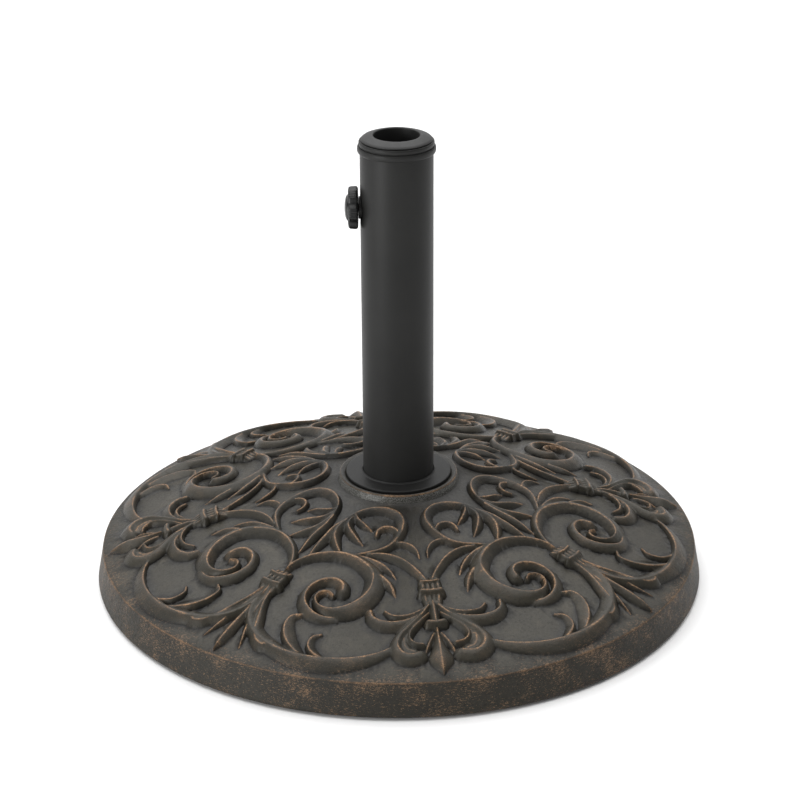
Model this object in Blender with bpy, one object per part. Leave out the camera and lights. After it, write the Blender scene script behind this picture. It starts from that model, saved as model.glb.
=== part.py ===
"""Parasol base: a round relief casting that carries a steel stem with a clamp knob.

Metres, +Z up. The origin is on the ground under the middle of the stem. The clamp screw lies along -X.
"""

import math

import bmesh
import bpy
from mathutils import Matrix

# ---- driving dimensions -------------------------------------------------------------------
GAP = 0.0003              # clearance between pieces that touch on the real object
FOOT_PROUD = 0.002        # how far the rubber feet hold the casting off the ground

BASE_R = 0.275            # the casting at the ground
RIM_R = 0.2697            # the sharp upper edge of its rim
RIM_Z = 0.0319
FIELD_TOP_Z = 0.088       # where the domed field meets the boss
FIELD_TOP_R = 0.0552
FIELD_LINEAR = 0.72       # share of the field's fall that is a straight cone; the rest grows as r squared
BOSS_R = 0.053
BOSS_Z = 0.0959

TUBE_R = 0.03175          # 2.5 inch stem tube
TUBE_WALL = 0.0015
SOCKET_FLOOR_Z = 0.029    # bottom of the casting's socket for the tube
SOCKET_GAP = 0.0005       # the tube's clearance in its socket
TUBE_LOW_Z = SOCKET_FLOOR_Z + SOCKET_GAP
TUBE_TOP_Z = 0.4045
TOP_Z = 0.412
POLE_HOLE_R = 0.020       # takes a 38 mm pole
COLLAR_R = 0.0340
COLLAR_LIP_R = 0.0285
CAP_R = 0.0309            # outer edge of the reducer's cap
CAP_LAND_R = 0.0224       # outer edge of the flat land round its hole
SLEEVE_LENGTH = 0.043     # from the reducer's top to the end of its sleeve
SLEEVE_SLOT = 0.0036      # width of the ring slot between its two walls
SLEEVE_OUTER_WALL = 0.0022
CAP_THICK = 0.010         # from the reducer's top to the slot between its two walls

FLANGE_R = 0.0472
FLANGE_Z = 0.0973                   # top of the cover flange's plate
FLANGE_THICK = 0.0047
FLANGE_NECK_RISE = 0.0013           # its neck round the tube stands this far above the plate
FLANGE_NECK_R = TUBE_R + 0.0012

COUNTERBORE_R = 0.0225
COUNTERBORE_Z = 0.019
BOLT_HOLE_R = 0.0075
BOLT_R = 0.006            # M12
HEX_ACROSS_FLATS = 0.019
BOLT_HEAD_HEIGHT = 0.0075
BOLT_PAST_NUT = 0.0034
NUT_HEIGHT = 0.0108
WASHER_R = 0.0185
WASHER_THICK = 0.0025
SPRING_WASHER_THICK = 0.0024
SPRING_WASHER_RISE = 0.0006         # how far one end of the split ring stands above the other
FOOT_PLATE_THICK = 0.006            # the plate welded in the tube's lower end
FOOT_PLATE_TOP_Z = TUBE_LOW_Z + FOOT_PLATE_THICK

SEAT_WALL = 0.0031                  # skirt of the pole seat
SEAT_FLOOR_Z = 0.056                # where the end of the pole stands
SEAT_FLOOR_THICK = 0.0048
SEAT_CUP_DEPTH = 0.012
SEAT_FUNNEL_RISE = 0.008
SEAT_MOUTH_R = 0.028

FOOT_COUNT = 6
FOOT_R = 0.014
FOOT_RING_R = 0.232
FOOT_SEAT = 0.0025        # how deep a foot's disc sits in the casting
FOOT_PLUG_R = 0.005
FOOT_PLUG_LENGTH = 0.008

CLAMP_Z = TOP_Z - 0.0653
CLAMP_BOSS_R = 0.0098
CLAMP_BOSS_OUT = 0.0331   # distance of the boss's outer face from the stem's axis
CLAMP_BOSS_IN = 0.0296
SCREW_R = 0.004           # M8
PAD_TIP = 0.016           # distance of the pad's face from the stem's axis, screwed right in
PAD_R = 0.007
PAD_THICK = 0.004
KNOB_R = 0.0193
KNOB_IN = 0.0334
KNOB_RIM = 0.0088
KNOB_LOBES = 6
KNOB_FLUTE = 0.0017
KNOB_CAP_R = 0.0113
KNOB_CAP_RISE = 0.0029

ROUND_STEPS = 40
TUBE_STEPS = 48
CASTING_STEPS = 96
KNOB_STEPS = 56

TOWARDS_KNOB = Matrix.Rotation(math.radians(-90), 4, "Y")    # turns +Z into -X


# ---- scene and materials ------------------------------------------------------------------
def clear_scene():
    for item in list(bpy.data.objects):
        bpy.data.objects.remove(item, do_unlink=True)


def material(name, colour, roughness, metallic):
    made = bpy.data.materials.new(name)
    made.use_nodes = True
    shader = made.node_tree.nodes["Principled BSDF"]
    shader.inputs["Base Color"].default_value = (*colour, 1.0)
    shader.inputs["Roughness"].default_value = roughness
    shader.inputs["Metallic"].default_value = metallic
    return made


# ---- mesh helpers -------------------------------------------------------------------------
def add_object(name, mesh_data, finish, place=None):
    """Makes an object of a bmesh, with its normals facing out, and frees the bmesh."""
    bmesh.ops.remove_doubles(mesh_data, verts=mesh_data.verts, dist=1e-7)
    bmesh.ops.recalc_face_normals(mesh_data, faces=mesh_data.faces)
    mesh = bpy.data.meshes.new(name)
    mesh_data.to_mesh(mesh)
    mesh_data.free()
    mesh.materials.append(finish)
    made = bpy.data.objects.new(name, mesh)
    bpy.context.scene.collection.objects.link(made)
    if place is not None:
        made.matrix_world = place
    return made


def spin_profile(profile, steps):
    """A solid of revolution about +Z. A profile that leaves the axis open is a closed ring."""
    mesh_data = bmesh.new()
    points = [mesh_data.verts.new((radius, 0, height)) for radius, height in profile]
    edges = [mesh_data.edges.new(pair) for pair in zip(points, points[1:])]
    if profile[0][0] > 0:
        edges.append(mesh_data.edges.new((points[-1], points[0])))
    bmesh.ops.spin(
        mesh_data, geom=points + edges, cent=(0, 0, 0), axis=(0, 0, 1),
        angle=2 * math.pi, steps=steps, use_merge=True, use_duplicate=False,
    )
    return mesh_data


def turned(name, profile, finish, place=None, steps=ROUND_STEPS):
    return add_object(name, spin_profile(profile, steps), finish, place)


def stacked(loops):
    """Bridges loops of equal length, from first to last, and closes both ends."""
    mesh_data = bmesh.new()
    rings = [[mesh_data.verts.new(point) for point in loop] for loop in loops]
    for lower, upper in zip(rings, rings[1:]):
        for i, corner in enumerate(lower):
            after = (i + 1) % len(lower)
            mesh_data.faces.new((corner, lower[after], upper[after], upper[i]))
    mesh_data.faces.new(list(reversed(rings[0])))
    mesh_data.faces.new(rings[-1])
    return mesh_data


def ring_loop(radius, height, steps=ROUND_STEPS):
    """A loop of points at this height. The radius can be a number or a function of the angle."""
    loop = []
    for i in range(steps):
        angle = 2 * math.pi * i / steps
        reach = radius(angle) if callable(radius) else radius
        loop.append((reach * math.cos(angle), reach * math.sin(angle), height))
    return loop


def hexagon(across_flats, sixth=math.pi / 3):
    """The radius of a hexagon as a function of the angle."""
    def reach(angle):
        return across_flats / 2 / math.cos((angle % sixth) - sixth / 2)
    return reach


def cut(target, cutter):
    """Takes the cutter out of the target with an exact Boolean, and keeps it as a hidden helper."""
    cutter.hide_render = True
    cutter.display_type = "WIRE"
    boolean = target.modifiers.new(f"cut_{cutter.name}", "BOOLEAN")
    boolean.operation = "DIFFERENCE"
    boolean.solver = "EXACT"
    boolean.object = cutter


def cylinder_cutter(name, radius, low, high, place, finish):
    return turned(name, [(0, low), (radius, low), (radius, high), (0, high)], finish, place)


# ---- casting and feet ---------------------------------------------------------------------
def field_height(radius):
    """Height of the domed field between the boss and the rim."""
    along = (radius - FIELD_TOP_R) / (RIM_R - FIELD_TOP_R)
    fall = FIELD_LINEAR * along + (1 - FIELD_LINEAR) * along * along
    return FIELD_TOP_Z - (FIELD_TOP_Z - RIM_Z) * fall


def casting_profile():
    rings = 9
    field = []
    for i in range(rings + 1):
        radius = FIELD_TOP_R + (RIM_R - 0.001 - FIELD_TOP_R) * i / rings
        field.append((radius, field_height(radius)))
    recess_r = FLANGE_R + GAP
    recess_z = FLANGE_Z - FLANGE_THICK - GAP
    socket_r = TUBE_R + SOCKET_GAP
    return [
        (COUNTERBORE_R, FOOT_PROUD),
        (COUNTERBORE_R, COUNTERBORE_Z),
        (BOLT_HOLE_R, COUNTERBORE_Z),
        (BOLT_HOLE_R, SOCKET_FLOOR_Z),
        (socket_r, SOCKET_FLOOR_Z),
        (socket_r, recess_z),
        (recess_r, recess_z),
        (recess_r, BOSS_Z - 0.0002),
        (BOSS_R - 0.0018, BOSS_Z),
        (BOSS_R, BOSS_Z - 0.0014),
        (FIELD_TOP_R - 0.0006, FIELD_TOP_Z + 0.001),
        *field,
        (RIM_R, RIM_Z - 0.0008),
        (BASE_R - 0.0006, FOOT_PROUD + 0.0045),
        (BASE_R, FOOT_PROUD + 0.0025),
        (BASE_R - 0.0015, FOOT_PROUD),
    ]


def foot_places():
    for i in range(FOOT_COUNT):
        angle = math.radians(30 + 360 / FOOT_COUNT * i)
        yield Matrix.Translation((FOOT_RING_R * math.cos(angle), FOOT_RING_R * math.sin(angle), 0))


def build_casting(finish):
    casting = turned("base_casting", casting_profile(), finish, steps=CASTING_STEPS)
    seat_top = FOOT_PROUD + FOOT_SEAT + GAP
    pocket = [
        (0, -0.001),
        (FOOT_R + GAP, -0.001),
        (FOOT_R + GAP, seat_top),
        (FOOT_PLUG_R + GAP, seat_top),
        (FOOT_PLUG_R + GAP, seat_top + FOOT_PLUG_LENGTH),
        (0, seat_top + FOOT_PLUG_LENGTH),
    ]
    for i, place in enumerate(foot_places(), start=1):
        cut(casting, turned(f"foot_pocket_{i}", pocket, finish, place, steps=24))
    return casting


def build_feet(finish):
    seat = FOOT_PROUD + FOOT_SEAT
    profile = [
        (0, 0),
        (FOOT_R - 0.0012, 0),
        (FOOT_R, 0.0012),
        (FOOT_R, seat),
        (FOOT_PLUG_R, seat),
        (FOOT_PLUG_R, seat + FOOT_PLUG_LENGTH - 0.001),
        (FOOT_PLUG_R - 0.001, seat + FOOT_PLUG_LENGTH),
        (0, seat + FOOT_PLUG_LENGTH),
    ]
    for i, place in enumerate(foot_places(), start=1):
        turned(f"foot_{i}", profile, finish, place, steps=24)


# ---- anchor: what holds the stem in the casting -------------------------------------------
def build_anchor(steel):
    plate_r = TUBE_R - TUBE_WALL - GAP
    hole_r = BOLT_R + GAP
    turned("stem_foot_plate", [
        (hole_r, TUBE_LOW_Z),
        (plate_r, TUBE_LOW_Z),
        (plate_r, FOOT_PLATE_TOP_Z),
        (hole_r, FOOT_PLATE_TOP_Z),
    ], steel)

    nut_low = FOOT_PLATE_TOP_Z + GAP
    nut_high = nut_low + NUT_HEIGHT
    add_hex_ring("anchor_nut", nut_low, nut_high, hole_r, steel)

    washer_high = COUNTERBORE_Z - GAP
    washer_low = washer_high - WASHER_THICK
    washer_hole_r = BOLT_R + 2 * GAP
    turned("anchor_washer", [
        (washer_hole_r, washer_low),
        (WASHER_R, washer_low),
        (WASHER_R, washer_high),
        (washer_hole_r, washer_high),
    ], steel)

    spring_high = washer_low - GAP
    spring_low = spring_high - SPRING_WASHER_THICK - SPRING_WASHER_RISE
    build_spring_washer(spring_low, steel)
    build_bolt(spring_low - GAP, nut_high + BOLT_PAST_NUT, steel)


def add_hex_ring(name, low, high, hole_r, finish):
    """A nut: a hexagon with its corners turned back, and a round hole."""
    hexagonal = hexagon(HEX_ACROSS_FLATS)
    turned_back = HEX_ACROSS_FLATS / 2 * 0.98
    bevel = 0.001
    nut = add_object(name, stacked([
        ring_loop(turned_back, low, 36),
        ring_loop(hexagonal, low + bevel, 36),
        ring_loop(hexagonal, high - bevel, 36),
        ring_loop(turned_back, high, 36),
    ]), finish)
    hole = cylinder_cutter(f"{name}_hole", hole_r, low - 0.002, high + 0.002, None, finish)
    cut(nut, hole)


def build_spring_washer(low, finish):
    """A split ring whose ends stand one above the other."""
    inner = BOLT_R + 0.0005
    outer = inner + 0.0041
    opening = math.radians(12)
    steps = 32
    loops = []
    for i in range(steps + 1):
        share = i / steps
        angle = opening / 2 + (2 * math.pi - opening) * share
        base = low + SPRING_WASHER_RISE * share
        top = base + SPRING_WASHER_THICK
        across = [(inner, base), (outer, base), (outer, top), (inner, top)]
        loops.append([(r * math.cos(angle), r * math.sin(angle), z) for r, z in across])
    add_object("spring_washer", stacked(loops), finish)


def build_bolt(head_high, tip_z, finish):
    hexagonal = hexagon(HEX_ACROSS_FLATS)
    head_low = head_high - BOLT_HEAD_HEIGHT
    add_object("anchor_bolt", stacked([
        ring_loop(HEX_ACROSS_FLATS / 2 * 0.97, head_low, 36),
        ring_loop(hexagonal, head_low + 0.0012, 36),
        ring_loop(hexagonal, head_high, 36),
        ring_loop(BOLT_R, head_high, 36),
        ring_loop(BOLT_R, tip_z - 0.0012, 36),
        ring_loop(BOLT_R - 0.0012, tip_z, 36),
    ]), finish)


# ---- stem ---------------------------------------------------------------------------------
def build_stem(painted, plastic):
    inner = TUBE_R - TUBE_WALL
    tube = turned("stem_tube", [
        (inner, TUBE_LOW_Z),
        (TUBE_R, TUBE_LOW_Z),
        (TUBE_R, TUBE_TOP_Z),
        (inner, TUBE_TOP_Z),
    ], painted, steps=TUBE_STEPS)
    at_clamp = Matrix.Translation((0, 0, CLAMP_Z)) @ TOWARDS_KNOB
    hole = cylinder_cutter("clamp_hole", CLAMP_BOSS_R + GAP, inner - 0.01, TUBE_R + 0.01, at_clamp, painted)
    cut(tube, hole)

    edge = FLANGE_Z - FLANGE_THICK
    neck_top = FLANGE_Z + FLANGE_NECK_RISE
    turned("flange_plate", [
        (TUBE_R + 0.0006, edge),
        (FLANGE_R - 0.0004, edge),
        (FLANGE_R, edge + 0.0004),
        (FLANGE_R, FLANGE_Z - 0.0020),
        (FLANGE_R - 0.0010, FLANGE_Z - 0.0011),
        (FLANGE_NECK_R + 0.0008, FLANGE_Z),
        (FLANGE_NECK_R, FLANGE_Z + 0.0005),
        (FLANGE_NECK_R - 0.0002, neck_top - 0.0002),
        (TUBE_R + 0.0006, neck_top),
    ], painted, steps=TUBE_STEPS)

    seat_r = inner - GAP
    skirt_low = FOOT_PLATE_TOP_Z + GAP
    under_floor = SEAT_FLOOR_Z - SEAT_FLOOR_THICK
    cup_r = POLE_HOLE_R + 0.0005
    cup_top = SEAT_FLOOR_Z + SEAT_CUP_DEPTH
    turned("pole_seat", [
        (0, under_floor),
        (seat_r - SEAT_WALL, under_floor),
        (seat_r - SEAT_WALL, skirt_low),
        (seat_r, skirt_low),
        (seat_r, cup_top + SEAT_FUNNEL_RISE),
        (SEAT_MOUTH_R, cup_top + SEAT_FUNNEL_RISE),
        (cup_r, cup_top),
        (cup_r, SEAT_FLOOR_Z),
        (0, SEAT_FLOOR_Z),
    ], plastic)


def rounded_band(radius, low, high, depth):
    """Outline of one raised band, from its lower to its upper groove."""
    points = []
    steps = 5
    for i in range(steps + 1):
        angle = math.pi * i / steps
        height = (low + high) / 2 - (high - low) / 2 * math.cos(angle)
        points.append((radius - depth + depth * math.sin(angle) ** 0.6, height))
    return points


def build_top(painted, plastic):
    """The collar over the tube's end, and the reducer that narrows it to the pole."""
    low = TOP_Z - 0.0148
    middle = TOP_Z - 0.0091
    high = TOP_Z - 0.0048
    tube_side = TUBE_R + GAP
    turned("top_collar", [
        (tube_side, low),
        *rounded_band(COLLAR_R, low, middle - 0.0001, 0.0014),
        *rounded_band(COLLAR_R - 0.0013, middle + 0.0001, high, 0.0012),
        (COLLAR_LIP_R, high),
        (COLLAR_LIP_R, TUBE_TOP_Z + GAP),
        (tube_side, TUBE_TOP_Z + GAP),
    ], painted, steps=TUBE_STEPS)

    cap_low = high + GAP
    sleeve_low = TOP_Z - SLEEVE_LENGTH
    slot_top = TOP_Z - CAP_THICK
    sleeve_r = COLLAR_LIP_R - 0.0004
    slot_outer_r = sleeve_r - SLEEVE_OUTER_WALL
    slot_inner_r = slot_outer_r - SLEEVE_SLOT
    turned("reducer_insert", [
        (POLE_HOLE_R, sleeve_low),
        (slot_inner_r, sleeve_low),
        (slot_inner_r, slot_top),
        (slot_outer_r, slot_top),
        (slot_outer_r, sleeve_low),
        (sleeve_r, sleeve_low),
        (sleeve_r, cap_low),
        (CAP_R - 0.0005, cap_low),
        (CAP_R, cap_low + 0.0006),
        (CAP_R - 0.0003, TOP_Z - 0.0034),
        (CAP_R - 0.0016, TOP_Z - 0.0023),
        ((CAP_R + CAP_LAND_R) / 2, TOP_Z - 0.0011),
        (CAP_LAND_R, TOP_Z),
        (POLE_HOLE_R + 0.0006, TOP_Z),
        (POLE_HOLE_R, TOP_Z - 0.0006),
    ], plastic, steps=TUBE_STEPS)


# ---- clamp --------------------------------------------------------------------------------
def knob_outline(radius):
    """Radius of the fluted grip as a function of the angle: broad lobes with narrow flutes."""
    def reach(angle):
        phase = math.cos(KNOB_LOBES * angle)
        return radius - KNOB_FLUTE * max(0.0, phase) ** 2
    return reach


def build_clamp(painted, steel, plastic):
    """Profiles run outwards along the clamp's axis, so a height is a distance from the stem's axis."""
    place = Matrix.Translation((0, 0, CLAMP_Z)) @ TOWARDS_KNOB

    turned("clamp_boss", [
        (SCREW_R + GAP, CLAMP_BOSS_IN),
        (CLAMP_BOSS_R, CLAMP_BOSS_IN),
        (CLAMP_BOSS_R, CLAMP_BOSS_OUT - 0.0006),
        (CLAMP_BOSS_R - 0.0006, CLAMP_BOSS_OUT),
        (SCREW_R + GAP, CLAMP_BOSS_OUT),
    ], painted, place)

    pad_back = PAD_TIP + PAD_THICK
    pin_r = 0.0022
    pin_end = PAD_TIP + 0.0018
    turned("clamp_pad", [
        (0, PAD_TIP),
        (PAD_R - 0.001, PAD_TIP),
        (PAD_R, PAD_TIP + 0.001),
        (PAD_R, pad_back),
        (pin_r + GAP, pad_back),
        (pin_r + GAP, pin_end - GAP),
        (0, pin_end - GAP),
    ], plastic, place, steps=32)

    knob_out = KNOB_IN + KNOB_RIM
    screw_out = knob_out - 0.0020
    turned("clamp_screw", [
        (0, pin_end),
        (pin_r, pin_end),
        (pin_r, pad_back + GAP),
        (SCREW_R, pad_back + GAP),
        (SCREW_R, screw_out),
        (0, screw_out),
    ], steel, place, steps=32)

    grip = knob_outline(KNOB_R)
    hole_r = SCREW_R + GAP
    recess_r = KNOB_CAP_R + GAP
    recess_z = knob_out - 0.0008
    add_object("clamp_knob", stacked([
        ring_loop(hole_r, screw_out + GAP, KNOB_STEPS),
        ring_loop(hole_r, KNOB_IN, KNOB_STEPS),
        ring_loop(KNOB_R - 0.0022, KNOB_IN, KNOB_STEPS),
        ring_loop(knob_outline(KNOB_R - 0.0006), KNOB_IN + 0.0007, KNOB_STEPS),
        ring_loop(grip, KNOB_IN + 0.0020, KNOB_STEPS),
        ring_loop(knob_outline(KNOB_R - 0.0003), knob_out - 0.0020, KNOB_STEPS),
        ring_loop(knob_outline(KNOB_R - 0.0011), knob_out - 0.0006, KNOB_STEPS),
        ring_loop(KNOB_R - 0.0026, knob_out, KNOB_STEPS),
        ring_loop(recess_r, knob_out, KNOB_STEPS),
        ring_loop(recess_r, recess_z, KNOB_STEPS),
    ]), painted, place)

    cap_low = recess_z + GAP
    dome_steps = 5
    dome = []
    for i in range(dome_steps + 1):
        angle = math.pi / 2 * i / dome_steps
        dome.append((KNOB_CAP_R * math.cos(angle) if i < dome_steps else 0,
                     knob_out + 0.0002 + KNOB_CAP_RISE * math.sin(angle)))
    turned("knob_cap", [(0, cap_low), (KNOB_CAP_R, cap_low), *dome], painted, place)


def main():
    clear_scene()
    bronze = material("antique_bronze", (0.10, 0.088, 0.075), 0.55, 0.35)
    charcoal = material("charcoal_powder_coat", (0.035, 0.034, 0.033), 0.45, 0.1)
    steel = material("zinc_plated_steel", (0.55, 0.55, 0.54), 0.35, 1.0)
    plastic = material("black_plastic", (0.03, 0.03, 0.03), 0.5, 0.0)
    rubber = material("black_rubber", (0.02, 0.02, 0.02), 0.8, 0.0)
    build_casting(bronze)
    build_feet(rubber)
    build_anchor(steel)
    build_stem(charcoal, plastic)
    build_top(charcoal, plastic)
    build_clamp(charcoal, steel, plastic)


main()
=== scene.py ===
"""Looks of the parasol base: an antique bronze relief casting, and a charcoal stem with its clamp.

Metres, +Z up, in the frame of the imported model. Strokes of the relief are in millimetres.
"""
import math

import bmesh
import bpy
import numpy as np
from mathutils import Matrix, Vector


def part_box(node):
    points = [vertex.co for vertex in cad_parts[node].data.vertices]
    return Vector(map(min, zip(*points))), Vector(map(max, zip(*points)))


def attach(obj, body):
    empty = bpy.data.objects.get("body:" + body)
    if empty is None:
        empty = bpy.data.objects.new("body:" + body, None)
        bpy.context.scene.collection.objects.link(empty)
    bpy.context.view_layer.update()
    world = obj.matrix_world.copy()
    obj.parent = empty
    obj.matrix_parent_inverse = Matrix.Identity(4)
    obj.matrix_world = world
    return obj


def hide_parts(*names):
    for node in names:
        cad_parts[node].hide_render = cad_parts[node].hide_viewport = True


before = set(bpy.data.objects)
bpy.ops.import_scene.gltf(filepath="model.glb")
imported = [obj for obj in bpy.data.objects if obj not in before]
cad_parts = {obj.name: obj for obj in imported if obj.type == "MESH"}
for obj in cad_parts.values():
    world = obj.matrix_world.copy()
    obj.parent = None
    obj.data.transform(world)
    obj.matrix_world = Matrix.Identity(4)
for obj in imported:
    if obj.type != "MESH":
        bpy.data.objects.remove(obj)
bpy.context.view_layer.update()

MM = 0.001
GAP = 0.0003
TURN = 2 * math.pi


# ---- sizes: boxes read from the frame, and the part's own radii and heights --------------
def low_high(node):
    low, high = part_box(node)
    return Vector(low), Vector(high)


CAST_LOW, CAST_HIGH = low_high("base_casting")
TUBE_LOW, TUBE_HIGH = low_high("stem_tube")
FLANGE_LOW, FLANGE_HIGH = low_high("flange_plate")
COLLAR_LOW, COLLAR_HIGH = low_high("top_collar")
REDUCER_LOW, REDUCER_HIGH = low_high("reducer_insert")
KNOB_LOW, KNOB_HIGH = low_high("clamp_knob")
KNOB_CAP_LOW, KNOB_CAP_HIGH = low_high("knob_cap")
SCREW_LOW, SCREW_HIGH = low_high("clamp_screw")
PAD_LOW, PAD_HIGH = low_high("clamp_pad")
BOSS_LOW, BOSS_HIGH = low_high("clamp_boss")

GROUND = CAST_LOW.z             # underside of the casting, held up by the feet
BASE_R = CAST_HIGH.x
TUBE_R = TUBE_HIGH.x
TUBE_WALL = 0.0015
POLE_HOLE_R = 0.020
CLAMP_Z = (KNOB_LOW.z + KNOB_HIGH.z) / 2

RIM_R = BASE_R - 0.0053         # upper edge of the rim
RIM_Z = 0.0319
FIELD_TOP_R = 0.0552            # where the domed field meets the boss
FIELD_TOP_Z = 0.088
FIELD_LINEAR = 0.72
LIP_R = 0.053                   # outer edge of the boss's lip
LIP_Z = CAST_HIGH.z
RECESS_R = FLANGE_HIGH.x + GAP
SOCKET_R = TUBE_R + 0.0005
SOCKET_FLOOR_Z = 0.029
COUNTERBORE_R = 0.0225
COUNTERBORE_Z = 0.019
BOLT_HOLE_R = 0.0075
FOOT_SEAT = 0.0025              # how deep a foot's disc sits in the casting
FOOT_PLUG_R = 0.0050
SCREW_BORE_R = 0.0043           # in the knob and in the clamp's boss
POCKET_STEPS = 48               # sides of each foot's pocket
FEET = [f"foot_{i}" for i in range(1, 7)]


# ---- mesh helpers -------------------------------------------------------------------------
def add_piece(name, mesh, body, slot, stands_for=(), sharp=35):
    """Links a mesh as a piece that rides on a body and stands for the CAD nodes named."""
    for polygon in mesh.polygons:
        polygon.use_smooth = True
    mesh.set_sharp_from_angle(angle=math.radians(sharp))
    piece = bpy.data.objects.new(name, mesh)
    bpy.context.scene.collection.objects.link(piece)
    mesh.materials.append(MATERIALS[slot])
    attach(piece, body)
    if stands_for:
        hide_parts(*stands_for)
    return piece


def mesh_of(name, bm, place=None):
    """The bmesh as a mesh with outward normals, moved to its place."""
    bmesh.ops.remove_doubles(bm, verts=bm.verts, dist=1e-7)
    bmesh.ops.recalc_face_normals(bm, faces=bm.faces)
    if place is not None:
        bm.transform(place)
    mesh = bpy.data.meshes.new(name)
    bm.to_mesh(mesh)
    bm.free()
    return mesh


CORNER_STEPS = 3


def softened(profile, radius=0.0004):
    """Rounds the corners of an outline of (r, z) points by cutting them with short arcs."""
    count = len(profile)
    ring = profile[0][0] > 0
    rounded = []
    for i, point in enumerate(profile):
        if not ring and i in (0, count - 1):
            rounded.append(point)
            continue
        here = Vector(point)
        before = Vector(profile[i - 1]) - here
        after = Vector(profile[(i + 1) % count]) - here
        reach = min(radius, before.length * 0.45, after.length * 0.45)
        start = here + before.normalized() * reach
        end = here + after.normalized() * reach
        for k in range(CORNER_STEPS + 1):
            t = k / CORNER_STEPS
            spot = start * (1 - t) ** 2 + here * (2 * t * (1 - t)) + end * t ** 2
            rounded.append((spot.x, spot.y))
    return rounded


def turned(name, profile, place=None, steps=96):
    """A solid of revolution about +Z."""
    bm = bmesh.new()
    points = [bm.verts.new((r, 0, z)) for r, z in profile]
    edges = [bm.edges.new(pair) for pair in zip(points, points[1:])]
    if profile[0][0] > 0:
        edges.append(bm.edges.new((points[-1], points[0])))
    bmesh.ops.spin(
        bm, geom=points + edges, cent=(0, 0, 0), axis=(0, 0, 1),
        angle=TURN, steps=steps, use_merge=True, use_duplicate=False,
    )
    return mesh_of(name, bm, place)


def lofted(name, loops, place=None):
    """Bridges loops of equal length, and closes both ends with fans."""
    bm = bmesh.new()
    rings = [[bm.verts.new(point) for point in loop] for loop in loops]
    count = len(rings[0])
    for lower, upper in zip(rings, rings[1:]):
        for i in range(count):
            j = (i + 1) % count
            bm.faces.new((lower[i], lower[j], upper[j], upper[i]))
    for ring in (rings[0], rings[-1]):
        middle = sum((v.co for v in ring), Vector()) / count
        hub = bm.verts.new(middle)
        for i in range(count):
            bm.faces.new((ring[i], ring[(i + 1) % count], hub))
    return mesh_of(name, bm, place)


def pierced(mesh, cutter):
    """The mesh with the volume of the cutter's mesh taken out of it."""
    helpers = [bpy.data.objects.new("helper", data) for data in (mesh, cutter)]
    for helper in helpers:
        bpy.context.scene.collection.objects.link(helper)
    cut = helpers[0].modifiers.new("cut", "BOOLEAN")
    cut.operation = "DIFFERENCE"
    cut.solver = "EXACT"
    cut.object = helpers[1]
    graph = bpy.context.evaluated_depsgraph_get()
    made = bpy.data.meshes.new_from_object(helpers[0].evaluated_get(graph))
    for helper in helpers:
        bpy.data.objects.remove(helper)
    return made


def ring_loop(reach, height, steps):
    """A loop of points at this height; reach is a function of the angle, or a number."""
    loop = []
    for i in range(steps):
        angle = TURN * i / steps
        radius = reach(angle) if callable(reach) else reach
        loop.append((radius * math.cos(angle), radius * math.sin(angle), height))
    return loop


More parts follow.
